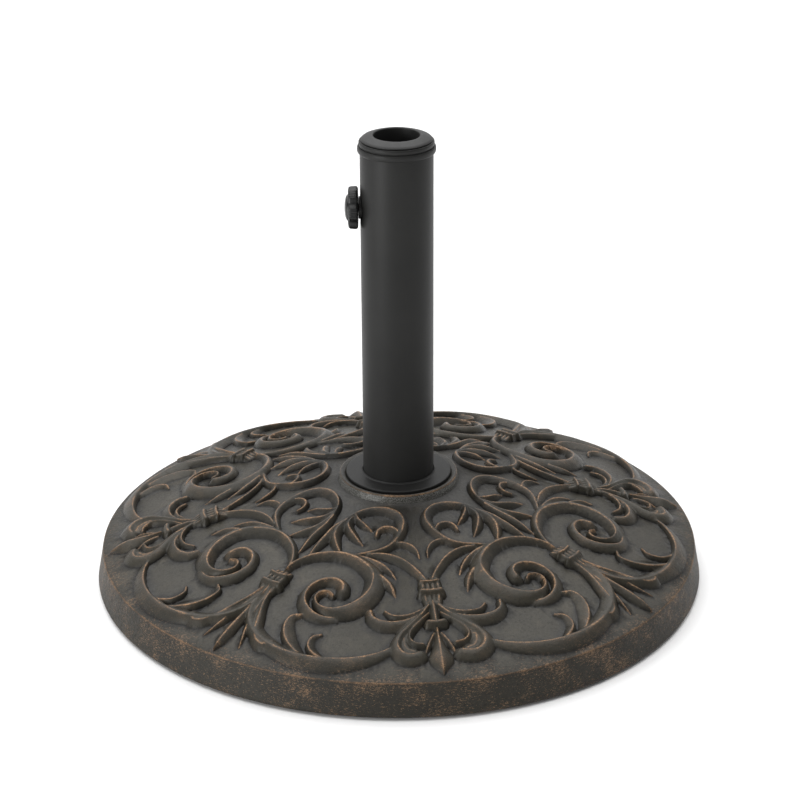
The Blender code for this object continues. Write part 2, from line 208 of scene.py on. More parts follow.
# ---- material helpers ---------------------------------------------------------------------
class Shader:
    """A material's nodes, with short calls for the ones used here."""

    def __init__(self, name):
        self.material = bpy.data.materials.new(name)
        self.material.use_nodes = True
        tree = self.material.node_tree
        self.nodes = tree.nodes
        self.links = tree.links
        self.bsdf = tree.nodes["Principled BSDF"]
        self.place = self.nodes.new("ShaderNodeTexCoord").outputs["Object"]

    def feed(self, socket, value):
        if isinstance(value, bpy.types.NodeSocket):
            self.links.new(value, socket)
        elif isinstance(value, (tuple, list)) and len(value) == 3 and socket.type == "RGBA":
            socket.default_value = (*value, 1.0)
        else:
            socket.default_value = value

    def set(self, **values):
        for name, value in values.items():
            self.feed(self.bsdf.inputs[name.replace("_", " ")], value)

    def noise(self, scale, detail=4.0, roughness=0.55, distortion=0.0, at=None):
        node = self.nodes.new("ShaderNodeTexNoise")
        self.links.new(at or self.place, node.inputs["Vector"])
        node.inputs["Scale"].default_value = scale
        node.inputs["Detail"].default_value = detail
        node.inputs["Roughness"].default_value = roughness
        node.inputs["Distortion"].default_value = distortion
        return node.outputs["Fac"]

    def stretched(self, scale):
        """Object coordinates scaled along each axis, which draws a pattern out along the small ones."""
        node = self.nodes.new("ShaderNodeMapping")
        self.links.new(self.place, node.inputs["Vector"])
        node.inputs["Scale"].default_value = scale
        return node.outputs["Vector"]

    def cells(self, scale):
        node = self.nodes.new("ShaderNodeTexVoronoi")
        self.links.new(self.place, node.inputs["Vector"])
        node.inputs["Scale"].default_value = scale
        return node.outputs["Distance"]

    def attribute(self, name):
        node = self.nodes.new("ShaderNodeAttribute")
        node.attribute_name = name
        return node.outputs["Fac"]

    def math(self, operation, a, b=0.0, clamp=False):
        node = self.nodes.new("ShaderNodeMath")
        node.operation = operation
        node.use_clamp = clamp
        self.feed(node.inputs[0], a)
        self.feed(node.inputs[1], b)
        return node.outputs[0]

    def steps(self, value, low, high, to_low=0.0, to_high=1.0):
        """A smooth ramp of value between low and high."""
        node = self.nodes.new("ShaderNodeMapRange")
        node.interpolation_type = "SMOOTHSTEP"
        self.feed(node.inputs["Value"], value)
        node.inputs["From Min"].default_value = low
        node.inputs["From Max"].default_value = high
        node.inputs["To Min"].default_value = to_low
        node.inputs["To Max"].default_value = to_high
        return node.outputs["Result"]

    def mix(self, share, a, b):
        node = self.nodes.new("ShaderNodeMix")
        node.data_type = "RGBA"
        self.feed(node.inputs["Factor"], share)
        self.feed(node.inputs["A"], a)
        self.feed(node.inputs["B"], b)
        return node.outputs["Result"]

    def bump(self, height, distance, strength=1.0, after=None):
        node = self.nodes.new("ShaderNodeBump")
        node.inputs["Distance"].default_value = distance
        node.inputs["Strength"].default_value = strength
        self.links.new(height, node.inputs["Height"])
        if after is not None:
            self.links.new(after, node.inputs["Normal"])
        return node.outputs["Normal"]


# ---- materials ----------------------------------------------------------------------------
def antique_bronze():
    """Dark bronze lacquer on cast composite: copper brushed over the crests, painted shade at their feet
    with whitish dusty specks and painted glints there, and a painted sheen on the boss's wall.
    """
    s = Shader("antique_bronze")
    crest = s.attribute("crest")
    foot = s.attribute("foot")
    wall = s.attribute("wall")
    wide = s.noise(9, 3)
    blotch = s.noise(45, 5, 0.6)
    grain = s.noise(420, 4, 0.65)
    speck = s.noise(1500, 3, 0.75)
    streak = s.noise(1300, 3, 0.6, at=s.stretched((0.30, 0.30, 1.0)))

    field = s.mix(s.steps(wide, 0.35, 0.65), (0.0225, 0.0200, 0.0140), (0.031, 0.0275, 0.0190))
    field = s.mix(s.steps(blotch, 0.46, 0.72), field, (0.041, 0.0355, 0.0245))
    field = s.mix(s.steps(grain, 0.52, 0.75), field, (0.014, 0.0126, 0.0098))
    field = s.mix(s.math("MULTIPLY", s.steps(speck, 0.56, 0.70), 0.5), field, (0.058, 0.054, 0.044))
    # Painted shade: darker where the foot mask is high, in the creases at the ribs' feet, in the ditch
    # round the boss and over the field near it.
    shaded = s.mix(foot, field, (0.0040, 0.0037, 0.0032))

    mottle = s.math("ADD", s.math("MULTIPLY", speck, 0.6), s.math("MULTIPLY", blotch, 0.4))
    brushed = s.math("ADD", crest, s.math("MULTIPLY", s.math("SUBTRACT", mottle, 0.5), 3.2))
    colour = s.mix(s.steps(brushed, 0.16, 0.66), shaded, (0.048, 0.0350, 0.0225))
    copper = s.mix(s.steps(grain, 0.40, 0.66), (0.115, 0.067, 0.036), (0.33, 0.190, 0.095))
    colour = s.mix(s.steps(brushed, 0.50, 0.98), colour, copper)

    scratches = s.math("ADD", s.math("MULTIPLY", streak, 0.5), s.math("MULTIPLY", speck, 0.5))
    scratches = s.steps(s.math("ADD", scratches, s.math("MULTIPLY", blotch, 0.30)), 0.695, 0.755)
    colour = s.mix(s.math("MULTIPLY", wall, 0.45), colour, (0.0120, 0.0110, 0.0092))
    colour = s.mix(s.math("MULTIPLY", scratches, wall, True), colour, (0.170, 0.104, 0.058))

    # Painted sheen: whitish speckle on the boss's wall, standing in for the lacquer's reflection of the
    # bright floor.
    boss_sheen = s.math("MULTIPLY", s.steps(speck, 0.44, 0.62), s.attribute("boss_sheen"), True)
    colour = s.mix(boss_sheen, colour, (0.21, 0.21, 0.195))
    # Whitish specks at the ribs' feet: dusty specks, and painted glints of the glossy lacquer.
    dust_and_glint_noise = s.math("ADD", speck, s.math("MULTIPLY", blotch, 0.7))
    dust_and_glints = s.math("MULTIPLY", s.steps(dust_and_glint_noise, 0.96, 1.12), s.steps(foot, 0.55, 1.0), True)
    colour = s.mix(s.math("MULTIPLY", dust_and_glints, 0.6), colour, (0.15, 0.145, 0.13))

    s.set(
        Base_Color=colour,
        Metallic=0.20,
        Specular_IOR_Level=0.36,
        Roughness=s.math("ADD", s.steps(grain, 0.30, 0.75, 0.33, 0.50), s.math("MULTIPLY", wall, 0.18)),
    )
    lumps = s.bump(s.noise(70, 3, 0.5), 0.0006)
    pits = s.steps(s.cells(260), 0.06, 0.16)
    rough = s.bump(pits, 0.00018, 0.5, lumps)
    pebbled = s.bump(grain, 0.00024, 1.0, rough)
    s.feed(s.bsdf.inputs["Normal"], s.bump(speck, 0.00011, 1.0, pebbled))
    return s.material


def powder_coat():
    """Charcoal powder coat with a fine orange-peel grain."""
    s = Shader("charcoal_powder_coat")
    grain = s.noise(1500, 3, 0.6)
    cloud = s.noise(14, 3)
    s.set(
        Base_Color=s.mix(s.steps(cloud, 0.3, 0.7), (0.0140, 0.0141, 0.0136), (0.0172, 0.0172, 0.0165)),
        Specular_IOR_Level=0.20,
        Roughness=s.steps(grain, 0.3, 0.7, 0.40, 0.50),
    )
    s.feed(s.bsdf.inputs["Normal"], s.bump(grain, 0.00005))
    return s.material


def moulded(name, dark, pale, roughness):
    """Moulded plastic or rubber with a faint flow pattern and grain."""
    s = Shader(name)
    grain = s.noise(1100, 3, 0.6)
    flow = s.noise(30, 3, 0.5, 0.8)
    s.set(
        Base_Color=s.mix(s.steps(flow, 0.3, 0.7), dark, pale),
        Roughness=s.steps(grain, 0.3, 0.7, roughness - 0.05, roughness + 0.06),
        Specular_IOR_Level=0.34,
    )
    s.feed(s.bsdf.inputs["Normal"], s.bump(grain, 0.00004))
    return s.material


def zinc_plate():
    """Bright zinc with cloudy patches and fine turning marks."""
    s = Shader("zinc_plated_steel")
    cloud = s.noise(160, 4)
    grain = s.noise(2400, 2)
    s.set(
        Base_Color=s.mix(s.steps(cloud, 0.35, 0.7), (0.46, 0.45, 0.43), (0.60, 0.60, 0.58)),
        Metallic=1.0,
        Roughness=s.steps(cloud, 0.3, 0.7, 0.26, 0.40),
    )
    s.feed(s.bsdf.inputs["Normal"], s.bump(grain, 0.00003))
    return s.material


MATERIALS = {
    "antique_bronze": antique_bronze(),
    "charcoal_powder_coat": powder_coat(),
    "knob_plastic": moulded("knob_plastic", (0.0065, 0.0068, 0.0070), (0.0095, 0.0098, 0.0100), 0.36),
    "black_plastic": moulded("black_plastic", (0.0155, 0.0155, 0.0150), (0.0200, 0.0200, 0.0195), 0.46),
    "black_rubber": moulded("black_rubber", (0.010, 0.010, 0.010), (0.018, 0.018, 0.018), 0.75),
    "zinc_plated_steel": zinc_plate(),
}


# ---- relief: strokes of one 45 degree sector, mirrored into eight -------------------------
# In the sector's frame x is sideways and y is outwards along the fleur's axis; the spray's
# axis is the line x = y. A stroke is a rib along a smooth curve through its points.
FLEUR_AZIMUTH = math.radians(9.4)    # of one fleur, from -Y towards +X
FRONT_LEAN = math.radians(-1.5)      # how far that one fleur's tip leans out of line
PETAL_POWER = (1.25, 1.25)
STROKES = []


def curve_through(points, per_span=10):
    """Points of a Catmull-Rom curve through the given ones."""
    p = np.array(points, float)
    p = np.vstack([2 * p[0] - p[1], p, 2 * p[-1] - p[-2]])
    t = np.linspace(0, 1, per_span, endpoint=False)[:, None]
    spans = []
    for a, b, c, d in zip(p, p[1:], p[2:], p[3:]):
        spans.append(0.5 * (
            2 * b + (c - a) * t + (2 * a - 5 * b + 4 * c - d) * t ** 2
            + (3 * b - a - 3 * c + d) * t ** 3
        ))
    return np.vstack([*spans, p[-2:-1]])


def stroke(points, height, left, right, ends=(1.0, 1.0), tall_ends=None, power=(1.3, 1.3)):
    """Adds a rib. height and the half widths left and right are one value, or values along it.

    ends and tall_ends are the shares of width and height at its ends, and power is the
    roundness of each flank: 1 is straight, more is fuller.
    """
    path = curve_through(points)
    length = np.r_[0, np.cumsum(np.hypot(*np.diff(path, axis=0).T))]
    along = length / length[-1]

    def spread(values):
        return np.interp(along, np.linspace(0, 1, np.size(values)), np.atleast_1d(values))

    def swell(shares):
        first = np.sin(np.clip(along / 0.45, 0, 1) * np.pi / 2)
        last = np.sin(np.clip((1 - along) / 0.45, 0, 1) * np.pi / 2)
        return np.minimum(shares[0] + (1 - shares[0]) * first, shares[1] + (1 - shares[1]) * last)

    wide = swell(ends)
    tall = spread(height) * swell(tall_ends or ends)
    STROKES.append((path, tall, spread(left) * wide, spread(right) * wide, power))


def petal(points, stations, heights, widths):
    """Adds a symmetric petal whose height and half width are given at stations along it."""
    path = curve_through(points, 24)
    along = np.linspace(0, 1, len(path))
    tall = np.interp(along, stations, heights)
    wide = np.interp(along, stations, widths)
    STROKES.append((path, tall, wide, wide, PETAL_POWER))


def on_spray(out, aside):
    """A point at this distance along the spray's axis, and this far aside towards the fleur's."""
    half = math.sqrt(0.5)
    return ((out - aside) * half, (out + aside) * half)


def draw_scrolls():
    # The volute's crest runs on into its inner curl; its outer ring leaves it at the bottom.
    stroke([(126, 124), (112, 113), (97, 108.8), (83, 109.8), (70, 114.5), (59.5, 122.5),
            (51.5, 133.5), (47, 146), (48.5, 158), (54.5, 169.5), (64, 177.5), (75, 182),
            (86, 181.5), (94.2, 177), (98.6, 169.5), (98.2, 161.5), (93, 156.8), (86.8, 157.6),
            (83.6, 162.5)],
           (5.2, 5.8, 6.2, 6.6, 7.4, 8.0, 7.0, 5.2), (4.5, 5.5, 7.0, 8.0, 8.0, 7.0, 3.4, 3.2),
           (4.0, 5.0, 6.0, 8.5, 11.5, 11.5, 3.6, 2.8), (0.75, 0.9), (0.9, 0.9), (1.0, 1.6))
    stroke([(84, 188), (94, 185.5), (102, 179.5), (106.6, 170.5), (107.2, 160.5), (103, 151),
            (95, 145), (85.5, 143.6), (77.5, 147.2), (73.6, 154), (75, 161)],
           (6.0, 6.8, 6.4, 6.2, 6.4), (3.4, 3.4, 3.6, 4.6, 6.5), (8.0, 8.0, 7.0, 6.0, 6.5),
           (0.6, 1.0), (0.4, 1.0), (1.1, 1.7))
    # The outer scroll's crest crosses its band, from the outer edge to the inner one.
    stroke([(135, 128), (144, 140), (152, 153.5), (156, 168), (155, 182), (149, 196), (138.5, 209.5),
            (124.5, 221.5), (107, 231), (88, 236.8), (69, 238), (51, 235), (37, 228.5)],
           (6.0, 6.6, 6.6, 6.6, 7.0, 7.0, 6.6, 5.6), (3.0, 3.4, 4.0, 6.0, 9.5, 11.0, 10.5, 8.0),
           (9.0, 11.0, 11.5, 10.0, 6.0, 4.0, 3.4, 3.0), (0.8, 0.55), (1.0, 0.55), (1.6, 1.3))
    stroke([(116, 227), (123, 217.5), (128, 206.5), (129.5, 194.5), (127, 183.5),
            (120.5, 176), (112, 176)],
           5.6, (5.0, 9.0, 10.5, 9.0, 5.0), 2.8, (0.8, 0.6), None, (1.1, 1.5))
    stroke([(100, 233), (107, 226), (111.5, 218.5), (111.5, 211), (107, 204.5),
            (99, 202.5)], 4.6, (4.0, 6.5, 6.0, 3.6), 2.4, (0.9, 0.5), None, (1.1, 1.5))


def draw_collars():
    """Bundles of stems with two bands across, on the fleur's axis and on the spray's."""
    for aside in (2.2, 6.4):
        stroke([(aside, 157), (aside, 172), (aside * 0.85, 187)], 6.6, 4.0, 4.0, (0.7, 0.7), (0.4, 0.5),
               (1.9, 1.9))
        for offset in (-aside, aside):
            stroke([on_spray(169, offset), on_spray(183, offset), on_spray(197, offset * 0.85)],
                   6.6, 4.0, 4.0, (0.7, 0.7), (0.4, 0.5), (1.9, 1.9))
    for out, high, half, reach in ((166, 8.0, 3.0, 7.6), (177, 8.4, 4.6, 8.2), (211, 6.8, 4.4, 6.4)):
        stroke([(-reach, out), (0, out + 0.8), (reach, out)], high, half, half, power=(1.9, 1.9))
    for out, high, half, reach in ((176.5, 8.0, 3.2, 7.6), (187, 8.4, 4.4, 8.0)):
        stroke([on_spray(out, -reach), on_spray(out + 0.8, 0), on_spray(out, reach)],
               high, half, half, power=(1.9, 1.9))


def draw_arms():
    stroke([(3, 160), (6.5, 152.5), (12, 143.5), (18.5, 135), (26.5, 128), (36, 122.5),
            (47, 119)], 5.6, 3.4, 5.2, (0.8, 0.6))
    stroke([(3.6, 130), (4.6, 122.5), (9.5, 115), (17, 110.8), (26, 111)],
           4.4, 2.6, 4.2, (0.25, 0.8))
    stroke([(58, 117), (47, 117.5), (36, 117), (26.5, 113.5), (19, 106), (13, 96), (9.8, 85),
            (11, 75), (17, 67), (26, 62), (37, 60.5), (48, 62.5), (57, 67.5)],
           5.6, (3.4, 4.0, 4.5, 4.0, 3.4), (5.0, 6.0, 7.0, 6.5, 5.0), (0.6, 0.8))
    stroke([(18.5, 105), (16.5, 97), (20.5, 90.5), (27.5, 88.2), (33.5, 91), (36, 97)],
           4.8, 3.2, 4.0, (0.5, 0.7))
    stroke([(62, 116), (50, 124), (39, 134), (31.5, 144), (27.5, 153)],
           4.8, 5.0, 4.0, (0.6, 0.2))
    stroke([(48, 141), (41, 149), (35.5, 158), (32.5, 166), (31, 174)],
           4.8, 5.0, 4.6, (0.6, 0.15))


def draw_inner_spray():
    stroke([(49, 64), (47.5, 72), (43.5, 80.5), (38, 88)], 4.8, 3.6, 4.0, (0.9, 0.2))
    stroke([(52, 66), (57.5, 76), (56.5, 87), (53, 97), (49, 104.5)], 5.4, 4.6, 5.6, (0.7, 0.15))
    stroke([(56, 68), (65.5, 76.5), (71, 87), (71.5, 98), (69, 111)], 5.8, 5.2, 6.2, (0.7, 0.15))
    stroke([(58, 68), (70, 76.5), (79, 86.5), (88.5, 96), (97.5, 105)], 5.8, 5.0, 5.8, (0.7, 0.15))


def draw_fleur():
    stroke([(3, 186), (8.5, 193.5), (17.5, 199), (28, 200.5), (37, 197.5), (42.5, 190.5)],
           5.4, 2.8, 4.0, (0.7, 0.6))
    stroke([(12, 199), (24, 205.5), (36, 207), (47, 203.8), (54, 197), (55, 189)],
           6.0, (3.2, 4.0, 4.6, 4.2), (5.0, 7.5, 8.0, 6.5), (0.6, 0.8), None, (1.1, 1.6))
    stroke([(4, 190), (12.5, 202), (23.5, 213), (32.5, 222), (36.5, 231), (34, 239.5), (26.5, 244),
            (18, 242.5)],
           (5.4, 6.0, 6.4, 6.6, 6.4), (3.6, 4.5, 6.5, 8.5, 8.5), (4.0, 4.5, 5.5, 6.0, 6.0),
           (0.6, 1.0), (0.8, 0.9), (1.7, 1.2))
    stroke([(5, 198), (14, 208), (22, 216.5), (25, 224.5), (21, 231), (13.5, 233)],
           5.4, 3.4, (2.8, 3.4, 3.0), (0.6, 0.9), None, (1.3, 1.2))
    stroke([(14, 206), (24, 215.5), (30.5, 226), (28.5, 235), (22, 238.5)], 3.8, 6.0, 6.0,
           (0.6, 0.8), (0.7, 0.8), (1.7, 1.7))
    stroke([(0, 184), (0, 208)], 5.2, 4.4, 4.4, (0.6, 0.9))
    stroke([(3, 220), (7.5, 230), (12.5, 240)], 4.0, 3.0, 3.0, (0.6, 0.3))
    petal([(0, 217), (0, 263)], [0, 0.16, 0.42, 0.62, 0.76, 0.90, 1],
          [4.8, 4.8, 6.0, 7.0, 6.6, 4.6, 2.6], [2.4, 3.2, 7.0, 10.8, 9.8, 4.6, 0.6])


def draw_outer_spray():
    petal([on_spray(190, 0), on_spray(266, 0)], [0, 0.25, 0.70, 0.88, 1],
          [5.2, 4.8, 6.2, 5.4, 2.8], [2.6, 3.2, 6.0, 5.2, 0.5])
    stroke([on_spray(192, 2.5), on_spray(212, 6), on_spray(232, 10.5), on_spray(256, 19)],
           5.0, 3.4, 3.4, (0.6, 0.2))
    stroke([on_spray(192, 4), on_spray(208, 8), on_spray(223, 14.5), on_spray(236, 20.5),
            on_spray(245, 28), on_spray(248, 37), on_spray(243, 43)],
           6.0, (3.4, 4.0, 5.0), (4.0, 5.0, 7.5, 7.5), (0.6, 1.0), (0.8, 1.0), (1.2, 1.6))


def relief(x, y):
    """Height, crest mask and foot mask of the ribs at points of the sector, in millimetres."""
    spots = np.stack([x, y], 1)
    height, crest, foot = np.zeros(len(x)), np.zeros(len(x)), np.zeros(len(x))
    margin = 3.0
    for path, tall, left, right, power in STROKES:
        reach = max(left.max(), right.max()) + margin
        inside = (spots >= path.min(0) - reach) & (spots <= path.max(0) + reach)
        near = np.nonzero(inside.all(1))[0]
        if not len(near):
            continue
        q = spots[near]
        best = np.full(len(q), 1e9)
        top = np.zeros(len(q))
        width = np.ones(len(q))
        fullness = np.ones(len(q))
        for i in range(len(path) - 1):
            span = path[i + 1] - path[i]
            t = np.clip(((q - path[i]) @ span) / (span @ span), 0, 1)
            away = q - path[i] - t[:, None] * span
            distance = np.hypot(away[:, 0], away[:, 1])
            closer = distance < best
            # The side is 1 on the left and -1 on the right, and turns over smoothly round an end.
            turn = span[1] * away[:, 0] - span[0] * away[:, 1]
            side = turn / (np.hypot(*span) * np.maximum(distance, 1e-9))
            on_left = left[i] + (left[i + 1] - left[i]) * t
            on_right = right[i] + (right[i + 1] - right[i]) * t
            across = (on_left + on_right + (on_left - on_right) * side) / 2
            full = (power[0] + power[1] + (power[0] - power[1]) * side) / 2
            best = np.where(closer, distance, best)
            top = np.where(closer, tall[i] + (tall[i + 1] - tall[i]) * t, top)
            width = np.where(closer, across, width)
            fullness = np.where(closer, full, fullness)
        rounding = 0.08
        share = best / width
        blunt = np.sqrt(share ** 2 + rounding ** 2) - rounding * 0.9
        rise = top * (1 - np.clip(blunt, 0, 1) ** fullness) * (share < 1)
        over = rise > height[near]
        line = np.maximum(np.exp(-(best / 0.9) ** 2), 0.42 * np.clip(1 - share, 0, 1) ** 0.7)
        crest[near] = np.where(over, line, crest[near] * (1 - (rise > 0) * 0.5))
        # The foot mask rings each rib's foot, where the material paints shade.
        outline = np.exp(-((best - width) / 1.4) ** 2)
        foot[near] = np.maximum(foot[near], outline)
        seam = 0.18 * np.exp(-np.abs(height[near] - rise) / 0.5) * ((height[near] > 0) & (rise > 0))
        height[near] = np.maximum(height[near], rise) + seam
    foot = foot * np.clip(1 - height / 2.5, 0, 1)
    return height, crest, foot


# ---- casting ------------------------------------------------------------------------------
def lean(azimuth, radius):
    """Extra azimuth of the front fleur, which was set into the pattern a little askew."""
    nearness = np.exp(-((azimuth - FLEUR_AZIMUTH) / math.radians(13)) ** 2)
    return FRONT_LEAN * nearness * np.clip((radius - 0.13) / 0.12, 0, 1)


def field_height(radius):
    """Height of the domed field between the boss and the rim."""
    along = (radius - FIELD_TOP_R) / (RIM_R - FIELD_TOP_R)
    return FIELD_TOP_Z - (FIELD_TOP_Z - RIM_Z) * (FIELD_LINEAR * along + (1 - FIELD_LINEAR) * along ** 2)


def dense(points, spacing):
    """The open outline with points added at this spacing."""
    out = []
    for a, b in zip(points, points[1:]):
        count = max(1, math.ceil(math.dist(a, b) / spacing))
        out += [
            (a[0] + (b[0] - a[0]) * k / count, a[1] + (b[1] - a[1]) * k / count)
            for k in range(count)
        ]
    return out + [points[-1]]


def casting_outline():
    """(r, z) rows of the casting from its counterbore up over the field and down the rim."""
    inner = [
        (COUNTERBORE_R, GROUND), (COUNTERBORE_R, COUNTERBORE_Z), (BOLT_HOLE_R, COUNTERBORE_Z),
        (BOLT_HOLE_R, SOCKET_FLOOR_Z), (SOCKET_R, SOCKET_FLOOR_Z), (SOCKET_R, FLANGE_LOW.z - GAP),
        (RECESS_R, FLANGE_LOW.z - GAP),
    ]
    lip = [
        (RECESS_R, LIP_Z - 0.0020), (RECESS_R + 0.0006, LIP_Z - 0.0016), (LIP_R - 0.0016, LIP_Z),
        (LIP_R - 0.0007, LIP_Z - 0.0003), (LIP_R, LIP_Z - 0.0010), (LIP_R + 0.0004, LIP_Z - 0.0022),
        (FIELD_TOP_R - 0.0010, FIELD_TOP_Z + 0.0012), (FIELD_TOP_R - 0.0004, FIELD_TOP_Z + 0.0004),
    ]
    step = 0.0006
    count = int((RIM_R - 0.0012 - FIELD_TOP_R) / step)
    field = [(FIELD_TOP_R + step * i, field_height(FIELD_TOP_R + step * i)) for i in range(count + 1)]
    wall = [
        (RIM_R - 0.0004, RIM_Z + 0.0001), (RIM_R, RIM_Z - 0.0004), (RIM_R + 0.0003, RIM_Z - 0.0014),
        (BASE_R - 0.0005, GROUND + 0.0040), (BASE_R, GROUND + 0.0022),
        (BASE_R - 0.0004, GROUND + 0.0008), (BASE_R - 0.0014, GROUND),
    ]
    return inner + dense(lip, 0.0008) + field + dense(wall, 0.0012)


def casting_sector():
    """One 45 degree sector as a mesh, thinned where it is smooth."""
    rows = np.array(casting_outline())
    columns = 352
    angle = np.linspace(0, math.pi / 4, columns + 1)
    radius, turn = np.meshgrid(rows[:, 0], angle, indexing="ij")
    x, y = radius * np.sin(turn), radius * np.cos(turn)
    z = np.repeat(rows[:, 1][:, None], columns + 1, 1)
    on_field = (radius > FIELD_TOP_R + 0.0008) & (z > RIM_Z)
    rise = np.zeros_like(z)
    rise[on_field] = relief(x[on_field] / MM, y[on_field] / MM)[0] * MM
    z = z + rise
    points = np.stack([x, y, z], -1).reshape(-1, 3)
    index = np.arange(len(points)).reshape(z.shape)
    quads = np.stack([index[:-1, :-1], index[:-1, 1:], index[1:, 1:], index[1:, :-1]], -1).reshape(-1, 4)
    mesh = bpy.data.meshes.new("sector")
    mesh.from_pydata(points.tolist(), [], quads.tolist())
    helper = bpy.data.objects.new("sector", mesh)
    bpy.context.scene.collection.objects.link(helper)
    thin = helper.modifiers.new("thin", "DECIMATE")
    thin.ratio = 0.07
    graph = bpy.context.evaluated_depsgraph_get()
    thinned = bpy.data.meshes.new_from_object(helper.evaluated_get(graph))
    bpy.data.objects.remove(helper)
    return thinned


def snap_to_mirrors(bm):
    """Puts the sector's open sides exactly on its two mirror planes."""
    half = math.sqrt(0.5)
    limit = 0.0006
    for vert in bm.verts:
        if not vert.is_boundary:
            continue
        x, y, _ = vert.co
        if abs(x) < limit:
            vert.co.x = 0
        elif abs(x - y) * half < limit:
            vert.co.x = vert.co.y = (x + y) / 2


def build_casting():
    sector = casting_sector()
    bm = bmesh.new()
    bm.from_mesh(sector)
    snap_to_mirrors(bm)
    bmesh.ops.remove_doubles(bm, verts=bm.verts, dist=1e-6)
    first = list(bm.verts) + list(bm.edges) + list(bm.faces)
    mirror = Matrix.Scale(-1, 4, (1, 0, 0))
    copied = bmesh.ops.duplicate(bm, geom=first)["geom"]
    twins = [item for item in copied if isinstance(item, bmesh.types.BMVert)]
    bmesh.ops.transform(bm, matrix=mirror, verts=twins)
    bmesh.ops.reverse_faces(bm, faces=[item for item in copied if isinstance(item, bmesh.types.BMFace)])
    pair = list(bm.verts) + list(bm.edges) + list(bm.faces)
    for quarter in range(1, 4):
        copied = bmesh.ops.duplicate(bm, geom=pair)["geom"]
        twins = [item for item in copied if isinstance(item, bmesh.types.BMVert)]
        quarter_turn = Matrix.Rotation(TURN / 4 * quarter, 3, "Z")
        bmesh.ops.rotate(bm, cent=(0, 0, 0), matrix=quarter_turn, verts=twins)
    bmesh.ops.remove_doubles(bm, verts=bm.verts, dist=2e-6)
    # The sector's outward axis is +Y: turn it to the camera's side and on to the fleur's azimuth.
    about = Matrix.Rotation(math.pi + FLEUR_AZIMUTH, 3, "Z")
    bmesh.ops.rotate(bm, cent=(0, 0, 0), matrix=about, verts=bm.verts)
    for vert in bm.verts:
        radius = math.hypot(vert.co.x, vert.co.y)
        if FIELD_TOP_R < radius < RIM_R and vert.co.z > RIM_Z:
            extra = lean(math.atan2(vert.co.x, -vert.co.y), radius)
            extra *= min(1.0, (RIM_R - radius) / 0.003)
            vert.co.xy = Matrix.Rotation(extra, 2) @ vert.co.xy
    close_underside(bm)
    bmesh.ops.recalc_face_normals(bm, faces=bm.faces)
    mesh = bpy.data.meshes.new("casting")
    bm.to_mesh(mesh)
    bm.free()
    bpy.data.meshes.remove(sector)
    write_masks(mesh)
    add_piece("relief_casting", mesh, "base_and_stem", "antique_bronze", ["base_casting"], 50)


def close_underside(bm):
    """Fills the flat underside between the rim and the counterbore, round a pocket for each foot."""
    border = [edge for edge in bm.edges if edge.is_boundary]
    pockets = []
    for foot in FEET:
        low, high = low_high(foot)
        middle = (low + high) / 2
        reach = (high.x - low.x) / 2 + GAP
        ring = []
        for x, y, _ in ring_loop(reach, GROUND, POCKET_STEPS):
            ring.append(bm.verts.new((middle.x + x, middle.y + y, GROUND)))
        pockets += [bm.edges.new(ends) for ends in zip(ring, ring[1:] + ring[:1])]
    bmesh.ops.triangle_fill(bm, edges=border + pockets, use_beauty=True)
    loose = [edge for edge in bm.edges if edge.is_boundary]
    depth = FOOT_SEAT + GAP
    deep = bmesh.ops.extrude_edge_only(bm, edges=loose)["geom"]
    roof = [item for item in deep if isinstance(item, bmesh.types.BMVert)]
    bmesh.ops.translate(bm, vec=(0, 0, depth), verts=roof)
    bmesh.ops.holes_fill(bm, edges=[edge for edge in bm.edges if edge.is_boundary])


def write_masks(mesh):
    """Stores where the ribs have crests and feet, where the casting is worn or dulled, and the boss's
    wall that gets a painted sheen.
    """
    count = len(mesh.vertices)
    points = np.empty(count * 3)
    mesh.vertices.foreach_get("co", points)
    points = points.reshape(-1, 3)
    radius = np.hypot(points[:, 0], points[:, 1])
    azimuth = np.arctan2(points[:, 0], -points[:, 1])
    azimuth -= lean(azimuth - lean(azimuth, radius), radius) + FLEUR_AZIMUTH
    folded = np.abs((azimuth + math.pi / 4) % (math.pi / 2) - math.pi / 4)
    x, y = radius * np.sin(folded), radius * np.cos(folded)
    crest, foot = np.zeros(count), np.zeros(count)
    on_field = (radius > FIELD_TOP_R) & (radius < RIM_R) & (points[:, 2] > RIM_Z)
    _, crest[on_field], foot[on_field] = relief(x[on_field] / MM, y[on_field] / MM)
    rim = np.exp(-(np.hypot(radius - RIM_R, points[:, 2] - RIM_Z) / 0.0011) ** 2)
    lip = np.exp(-(np.hypot(radius - LIP_R, points[:, 2] - LIP_Z + 0.0006) / 0.0009) ** 2)
    base = np.exp(-(np.hypot(radius - BASE_R, points[:, 2] - GROUND - 0.002) / 0.0015) ** 2)
    crest = np.maximum(crest, np.maximum(0.9 * rim, np.maximum(0.9 * lip, 0.3 * base)))
    # Painted shade in the ditch at the boss's foot, and the field darkened towards the boss.
    ditch = np.exp(-((radius - FIELD_TOP_R) / 0.0015) ** 2)
    foot = np.maximum(foot, 0.8 * ditch)
    foot = np.maximum(foot, 0.55 * np.clip((0.125 - radius) / 0.045, 0, 1))
    boss = (radius > LIP_R - 0.0002) & (radius < FIELD_TOP_R) & (points[:, 2] < LIP_Z - 0.0016)
    boss_sheen = boss * np.clip((points[:, 2] - FIELD_TOP_Z) / 0.0015, 0, 1)
    wall = np.clip((radius - 0.246) / 0.024, 0, 1) ** 2
    for name, values in (("crest", crest), ("foot", foot), ("wall", wall), ("boss_sheen", boss_sheen)):
        layer = mesh.attributes.new(name, "FLOAT", "POINT")
        layer.data.foreach_set("value", values.astype(np.float32))


